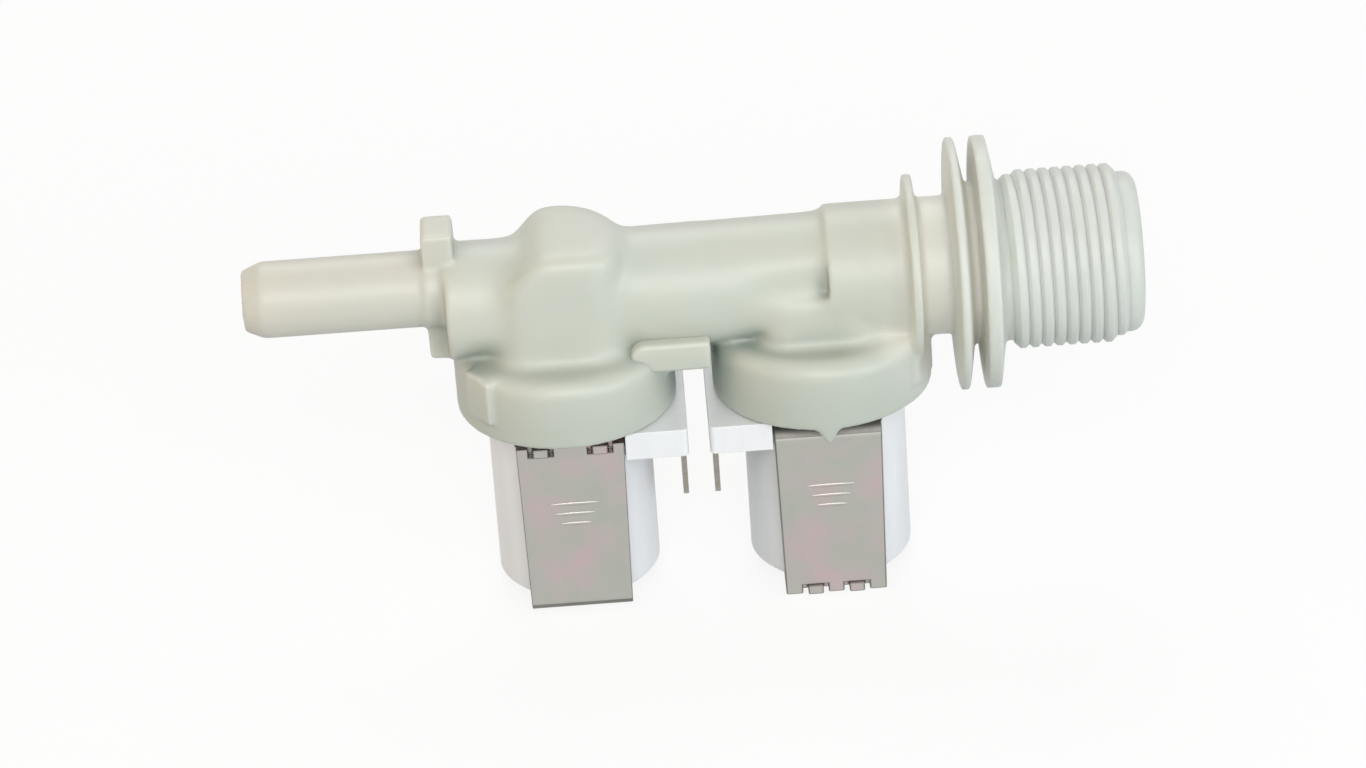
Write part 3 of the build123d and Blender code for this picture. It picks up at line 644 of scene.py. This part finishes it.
def thread_tree():
    """A node group that sweeps a trapezoid along a helix about X."""
    tree, sizes = new_group("moulded_thread", THREAD_LENGTHS, {"Steps": 600})
    calc = calculator(tree)
    index = out(add(tree, "GeometryNodeInputIndex"))
    share = calc("DIVIDE", index, calc("SUBTRACT", sizes["Steps"], 1.0))
    along = calc("MULTIPLY", share, sizes["Length"])
    angle = calc("MULTIPLY", calc("DIVIDE", along, sizes["Pitch"]), 2 * math.pi)
    nearer_end = calc("MINIMUM", share, calc("SUBTRACT", 1.0, share))
    rise = calc("MINIMUM", calc("MULTIPLY", nearer_end, END_STEEPNESS), 1.0)
    sunk = calc("MULTIPLY", calc("SUBTRACT", 1.0, rise), sizes["Crest Height"])
    radius = calc("SUBTRACT", sizes["Root Radius"], sunk)
    cosine, sine = calc("COSINE", angle), calc("SINE", angle)

    line = add(tree, "GeometryNodeMeshLine", {"mode": "OFFSET"}, Count=sizes["Steps"])
    wire = add(tree, "GeometryNodeMeshToCurve", Mesh=out(line))
    spot = add(tree, "ShaderNodeCombineXYZ", X=calc("ADD", sizes["Start"], along),
               Y=calc("MULTIPLY", radius, cosine), Z=calc("MULTIPLY", radius, sine))
    helix = add(tree, "GeometryNodeSetPosition", Geometry=out(wire), Position=out(spot))
    outward = add(tree, "ShaderNodeCombineXYZ", X=0.0, Y=cosine, Z=sine)
    steady = add(tree, "GeometryNodeSetCurveNormal", {"mode": "FREE"}, Curve=out(helix),
                 Normal=out(outward))

    shape = add(tree, "GeometryNodeCurvePrimitiveQuadrilateral", {"mode": "TRAPEZOID"},
                Height=sizes["Crest Height"], Top_Width=sizes["Crest Width"],
                Bottom_Width=sizes["Root Width"], Offset=0.0)
    rounded = add(tree, "GeometryNodeFilletCurve", {"mode": "POLY"}, Curve=out(shape), Count=2,
                  Radius=sizes["Crest Round"])
    lift = add(tree, "ShaderNodeCombineXYZ", X=calc("MULTIPLY", sizes["Crest Height"], 0.5))
    stand = add(tree, "GeometryNodeTransform", Geometry=out(rounded),
                Rotation=(0.0, 0.0, -math.pi / 2), Translation=out(lift))
    sweep = add(tree, "GeometryNodeCurveToMesh", Curve=out(steady), Profile_Curve=out(stand),
                Fill_Caps=True)
    return end_group(tree, out(sweep), sizes["Material"])


thread_group = thread_tree()
print("thread tree:", len(thread_group.nodes), "nodes")


# %% [markdown]
# The ridge is moulded with the body, so it wears the same material and rides with it.

# %% Thread ridge
FINE_WELD = 0.001 * MM
THREAD_CREASE = 30

thread = grow("inlet_thread_ridge", thread_group, {"Material": polyamide})
with open_mesh(thread.data) as work:
    bmesh.ops.remove_doubles(work, verts=work.verts, dist=FINE_WELD)
    bmesh.ops.recalc_face_normals(work, faces=work.faces)
shade_by_angle(thread, THREAD_CREASE)
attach(thread, "valve")
print("thread ridge:", len(thread.data.polygons), "faces")


# %% [markdown]
# ## The bar between the bells
# A short bar ties the outlet bell to the run of the body. Its face stands out over the bell's
# shoulder, with one large round corner. An outline is drawn twice, in front and inside the
# body, faces join the two, and a bevel softens the rim like the rest of the moulding.

# %% Bar face
BAR_LEFT, BAR_RIGHT = -64.6 * MM, -52.8 * MM
BAR_FRONT, BAR_BACK = -9.8 * MM, -5.0 * MM
BAR_LOW, BAR_TOP = -9.4 * MM, -4.8 * MM
BAR_CORNER = 2.4 * MM
CORNER_STEPS = 10
BAR_RIM = 0.7 * MM
SHARP_FROM = math.radians(40)


def bevel(piece, width, segments):
    """Round a piece's sharp edges and keep the result as its mesh."""
    rim = piece.modifiers.new("rim", "BEVEL")
    rim.width = width
    rim.segments = segments
    rim.limit_method = "ANGLE"
    rim.angle_limit = SHARP_FROM
    return make_plain(piece)


def bar_face():
    """The face of the bar: a slab with one round upper corner."""
    outline = [(BAR_RIGHT, BAR_TOP), (BAR_RIGHT, BAR_LOW), (BAR_LEFT, BAR_LOW)]
    for step in range(CORNER_STEPS + 1):
        angle = math.pi - step * math.pi / 2 / CORNER_STEPS
        outline.append((BAR_LEFT + BAR_CORNER * (1 + math.cos(angle)),
                        BAR_TOP - BAR_CORNER * (1 - math.sin(angle))))
    count = len(outline)
    points = [(x, y, z) for y in (BAR_FRONT, BAR_BACK) for x, z in outline]
    front, back = list(reversed(range(count))), list(range(count, 2 * count))
    sides = [(i, (i + 1) % count, (i + 1) % count + count, i + count) for i in range(count)]
    mesh = bpy.data.meshes.new("seat_bar_face")
    mesh.from_pydata(points, [], [front, back, *sides])
    piece = bevel(new_object("seat_bar_face", mesh), BAR_RIM, 4)
    piece.data.shade_smooth()
    wear(piece, polyamide)
    return piece


bar = bar_face()
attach(bar, "valve")
print("bar face:", len(bar.data.polygons), "faces")


# %% [markdown]
# ## Rounded edges on the coils
# Stamped and moulded edges are never perfectly sharp, and the thin bright line along them is
# what the eye reads as real. Copies of the yokes and jackets get a small bevel.
# The flat faces are first freed of their triangles, so the bevel follows true edges only, and
# they keep flat shading, so no gradient crosses a plate.
# On a yoke every face that is not flat is a bend or a cut edge, and takes the darker metal.

# %% Bevel the coils' pieces
FLAT_NORMAL = 0.97
SQUARE_NORMAL = 0.9999
SAME_PLANE = math.radians(2)
PLATE_CREASE = 25
YOKE_RIM = 0.22 * MM
JACKET_RIM = 0.25 * MM


def bevelled(node_name, width):
    """A copy of a solid piece with rounded edges, which then stands for the solid."""
    piece = merged_copy(node_name, "dressed_" + node_name)
    with open_mesh(piece.data) as work:
        bmesh.ops.dissolve_limit(work, angle_limit=SAME_PLANE, verts=work.verts, edges=work.edges)
    bevel(piece, width, 2)
    shade_by_angle(piece, PLATE_CREASE)
    finish = finish_of(node_name)
    wear(piece, finish, *([worked_steel] if finish is zinc_steel else []))
    for face in piece.data.polygons:
        if max(abs(c) for c in face.normal) > SQUARE_NORMAL:
            face.use_smooth = False
        if finish is zinc_steel:
            flat = max(abs(face.normal.y), abs(face.normal.z)) > FLAT_NORMAL
            face.material_index = 0 if flat else 1
    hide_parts(node_name)
    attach(piece, "valve")
    print(piece.name, len(piece.data.polygons), "faces")


for valve in ("outlet", "inlet"):
    bevelled(f"{valve}_yoke_lower", YOKE_RIM)
    bevelled(f"{valve}_yoke_upper", YOKE_RIM)
    bevelled(f"{valve}_coil_jacket", JACKET_RIM)


# %% [markdown]
# ## The return springs
# Each return spring stands between the closed end of its guide tube and its plunger. When the
# coil pulls the plunger down by 2.4 mm, the spring must shorten by as much, which its solid
# can't do. A copy of it stands for the solid and rides with the valve.

# %% Copy the springs
WIRE_CREASE = 50

for valve in ("outlet", "inlet"):
    node_name = f"{valve}_plunger_spring"
    spring = merged_copy(node_name, f"{valve}_return_spring")
    shade_by_angle(spring, WIRE_CREASE)
    wear(spring, spring_wire)
    lowest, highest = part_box(node_name)
    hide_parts(node_name)
    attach(spring, "valve")
    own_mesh(spring)


# %% [markdown]
# ## Diaphragms cut into slices
# The rim of each rubber diaphragm is clamped in its bell, and its middle goes down with the
# stiff insert, so the rubber bends towards its middle all round. A copy of each disc is cut like
# a cake, and each slice is cut across into strips from the insert's rim out to the bead.

# %% Slice a diaphragm
SLICES = 12
BENDS = 7
INSERT_RADIUS = 5.6 * MM
BEAD_INSIDE = 12.0 * MM
HALF_SLICE = math.pi / SLICES
ON_THE_PLANE = 0.0001 * MM
HELD_FROM = BEAD_INSIDE * math.cos(HALF_SLICE)


def cut(work, point, normal, keep_one_side):
    """Cut a mesh by a plane, and close it where one side is taken away."""
    everything = work.verts[:] + work.edges[:] + work.faces[:]
    made = bmesh.ops.bisect_plane(work, geom=everything, dist=ON_THE_PLANE, plane_co=point,
                                  plane_no=normal, clear_outer=keep_one_side)
    if keep_one_side:
        rims = [part for part in made["geom_cut"] if isinstance(part, bmesh.types.BMEdge)]
        bmesh.ops.edgeloop_fill(work, edges=rims)


def slice_of(node_name, number, hub):
    """One slice of a disc, cut across into strips, and its direction outward."""
    piece = merged_copy(node_name, f"{node_name}_slice_{number + 1:02d}")
    angle = 2 * HALF_SLICE * (number + 0.5)
    outward = Vector((math.cos(angle), math.sin(angle), 0.0))
    with open_mesh(piece.data) as work:
        for side, sign in ((angle - HALF_SLICE, 1), (angle + HALF_SLICE, -1)):
            cut(work, hub, sign * Vector((math.sin(side), -math.cos(side), 0.0)), True)
        for step in range(BENDS + 1):
            reach = INSERT_RADIUS + (HELD_FROM - INSERT_RADIUS) * step / BENDS
            cut(work, hub + outward * reach, outward, False)
    wear(piece, seal_rubber)
    return piece, outward


print(f"rubber bends from {INSERT_RADIUS / MM:.1f} to {HELD_FROM / MM:.1f} mm from the middle")


# %% [markdown]
# Each disc is cut into its slices, and its solid is hidden.

# %% Slice both diaphragms
for valve in ("outlet", "inlet"):
    node_name = f"{valve}_diaphragm"
    lowest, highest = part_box(node_name)
    hub = (lowest + highest) / 2
    for number in range(SLICES):
        piece, outward = slice_of(node_name, number, hub)
        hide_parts(node_name)
        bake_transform(piece)
    print(node_name, "in", SLICES, "slices of", len(piece.data.polygons), "faces")


# %% [markdown]
# ## Pressed beads on the yokes
# Shallow beads are pressed out of each front plate. They stiffen the thin strip and catch the
# light as pale lines. Geometry Nodes stack flattened balls on the plate's face, half sunk in it,
# and each bead is a little shorter than the one above.

# %% Bead tree
BEAD_LENGTHS = {
    "Axis X": 0.0,
    "Face Y": -12.4 * MM,
    "Top Z": -29.0 * MM,
    "Length": 7.6 * MM,
    "Width": 0.6 * MM,
    "Proud": 0.16 * MM,
    "Spacing": 1.7 * MM,
    "Shortening": 0.18,
}


def bead_tree():
    """A node group that stacks flat beads on the front face of a plate."""
    tree, sizes = new_group("pressed_beads", BEAD_LENGTHS, {"Beads": 3})
    calc = calculator(tree)
    index = out(add(tree, "GeometryNodeInputIndex"))
    start = add(tree, "ShaderNodeCombineXYZ", X=sizes["Axis X"], Y=sizes["Face Y"], Z=sizes["Top Z"])
    step = add(tree, "ShaderNodeCombineXYZ", Z=calc("MULTIPLY", sizes["Spacing"], -1.0))
    column = add(tree, "GeometryNodeMeshLine", {"mode": "OFFSET"}, Count=sizes["Beads"],
                 Start_Location=out(start), Offset=out(step))
    kept = calc("SUBTRACT", 1.0, calc("MULTIPLY", sizes["Shortening"], index))
    half_length = calc("MULTIPLY", calc("MULTIPLY", sizes["Length"], 0.5), kept)
    stretch = add(tree, "ShaderNodeCombineXYZ", X=half_length, Y=sizes["Proud"],
                  Z=calc("MULTIPLY", sizes["Width"], 0.5))
    ball = add(tree, "GeometryNodeMeshUVSphere", Segments=24, Rings=12, Radius=1.0)
    beads = add(tree, "GeometryNodeInstanceOnPoints", Points=out(column),
                Instance=out(ball, "Mesh"), Scale=out(stretch))
    return end_group(tree, out(beads), sizes["Material"])


bead_group = bead_tree()
print("bead tree:", len(bead_group.nodes), "nodes")


# %% [markdown]
# The front plate belongs to the lower yoke on the outlet valve and to the upper one on the
# inlet valve. The beads sit on the middle line of each.

# %% Beads on both front plates
for valve, front_yoke in (("outlet", "outlet_yoke_lower"), ("inlet", "inlet_yoke_upper")):
    lowest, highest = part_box(front_yoke)
    middle_x = (lowest.x + highest.x) / 2
    beads = grow(f"{valve}_yoke_beads", bead_group, {"Axis X": middle_x, "Material": zinc_steel})
    beads.data.shade_smooth()
    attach(beads, "valve")
    print(beads.name, len(beads.data.polygons), "faces")


# %% [markdown]
# ## The floor
# The valve is shown on plain white. The floor is a wide pale sheet that takes the shadow, and
# it is made to look white to the camera and in reflections without adding light to the valve:
# every other ray finds it grey, so the undersides of the bells stay darker than their tops.

# %% Floor
FLOOR_REACH = 3.0
FLOOR_GAP = 0.02 * MM
FLOOR_GLOW = 0.85
FLOOR_GREY = "#B4B9B9"


def seen_directly(tree):
    """One where the camera or a reflection looks, and zero for every other ray."""
    rays = add(tree, "ShaderNodeLightPath")
    return calculator(tree)("MAXIMUM", out(rays, "Is Camera Ray"), out(rays, "Is Glossy Ray"))


def stage_white():
    """Paper that looks white and lights the object as pale grey would."""
    material, tree, _place = new_material("matt_white_sweep")
    seen = seen_directly(tree)
    paper = add(tree, "ShaderNodeBsdfDiffuse", Color=mixed(tree, seen, FLOOR_GREY, "#FFFFFF"))
    glow = add(tree, "ShaderNodeEmission", Color=linear("#FFFFFF"), Strength=1.0)
    mix = add(tree, "ShaderNodeMixShader", Fac=calculator(tree)("MULTIPLY", seen, FLOOR_GLOW))
    tree.links.new(out(paper), mix.inputs[1])
    tree.links.new(out(glow), mix.inputs[2])
    finish_surface(tree, mix)
    return material


floor_z = cad_box[0].z - FLOOR_GAP
floor = new_object("floor", bpy.data.meshes.new("floor"))
with open_mesh(floor.data) as work:
    bmesh.ops.create_grid(work, x_segments=1, y_segments=1, size=FLOOR_REACH)
    bmesh.ops.translate(work, verts=work.verts, vec=(0.0, 0.0, floor_z))
wear(floor, stage_white())
print(f"floor at {floor_z / MM:.2f} mm")


# %% [markdown]
# ## The lights
# Soft square lamps stand at the right front, above the lens and behind, with a warm weak one at
# the left, and all face the valve. An even sky lifts the shadows, as in a small product tent.
# Like the floor, the sky is white to the camera and dimmer to everything that it lights.

# %% Lamps and sky
VALVE_MIDDLE = Vector((-0.055, 0.0, -0.01))
LAMP_WIDTH = 0.7
LAMPS = (
    ("right_front", (0.85, -0.85, 0.15), 7.0, "#EDF6FF"),
    ("over_the_lens", (-0.05, -1.05, 0.65), 7.8, "#FFFDFA"),
    ("back_top", (-0.05, 0.8, 0.9), 4.3, "#FFFFFF"),
    ("warm_left", (-1.25, -0.1, 0.4), 2.6, "#FFD8A2"),
)
SKY_LEVEL = 0.36

for name, place, watts, colour in LAMPS:
    lamp = bpy.data.lights.new(name, "AREA")
    lamp.shape = "SQUARE"
    lamp.size = LAMP_WIDTH
    lamp.energy = watts
    lamp.color = linear(colour)[:3]
    facing = (VALVE_MIDDLE - Vector(place)).to_track_quat("-Z", "Y").to_matrix().to_4x4()
    new_object(name, lamp).matrix_world = Matrix.Translation(place) @ facing

world = bpy.data.worlds.new("studio_sky")
world.use_nodes = True
bpy.context.scene.world = world
sky = world.node_tree
sky.nodes.clear()
level = fade(sky, seen_directly(sky), 0.0, 1.0, low=SKY_LEVEL)
air = add(sky, "ShaderNodeBackground", Color=linear("#FFFFFF"), Strength=level)
sky.links.new(out(air), sky.nodes.new("ShaderNodeOutputWorld").inputs["Surface"])
bpy.context.scene.view_settings.view_transform = "Standard"
print(len(LAMPS), "lamps and an even sky")


# %% [markdown]
# ## The size
# The solids' box is printed in millimetres. The dressed valve has to stay inside the solids'
# box.

print("cad", [[round(c / MM, 2) for c in v] for v in cad_box])
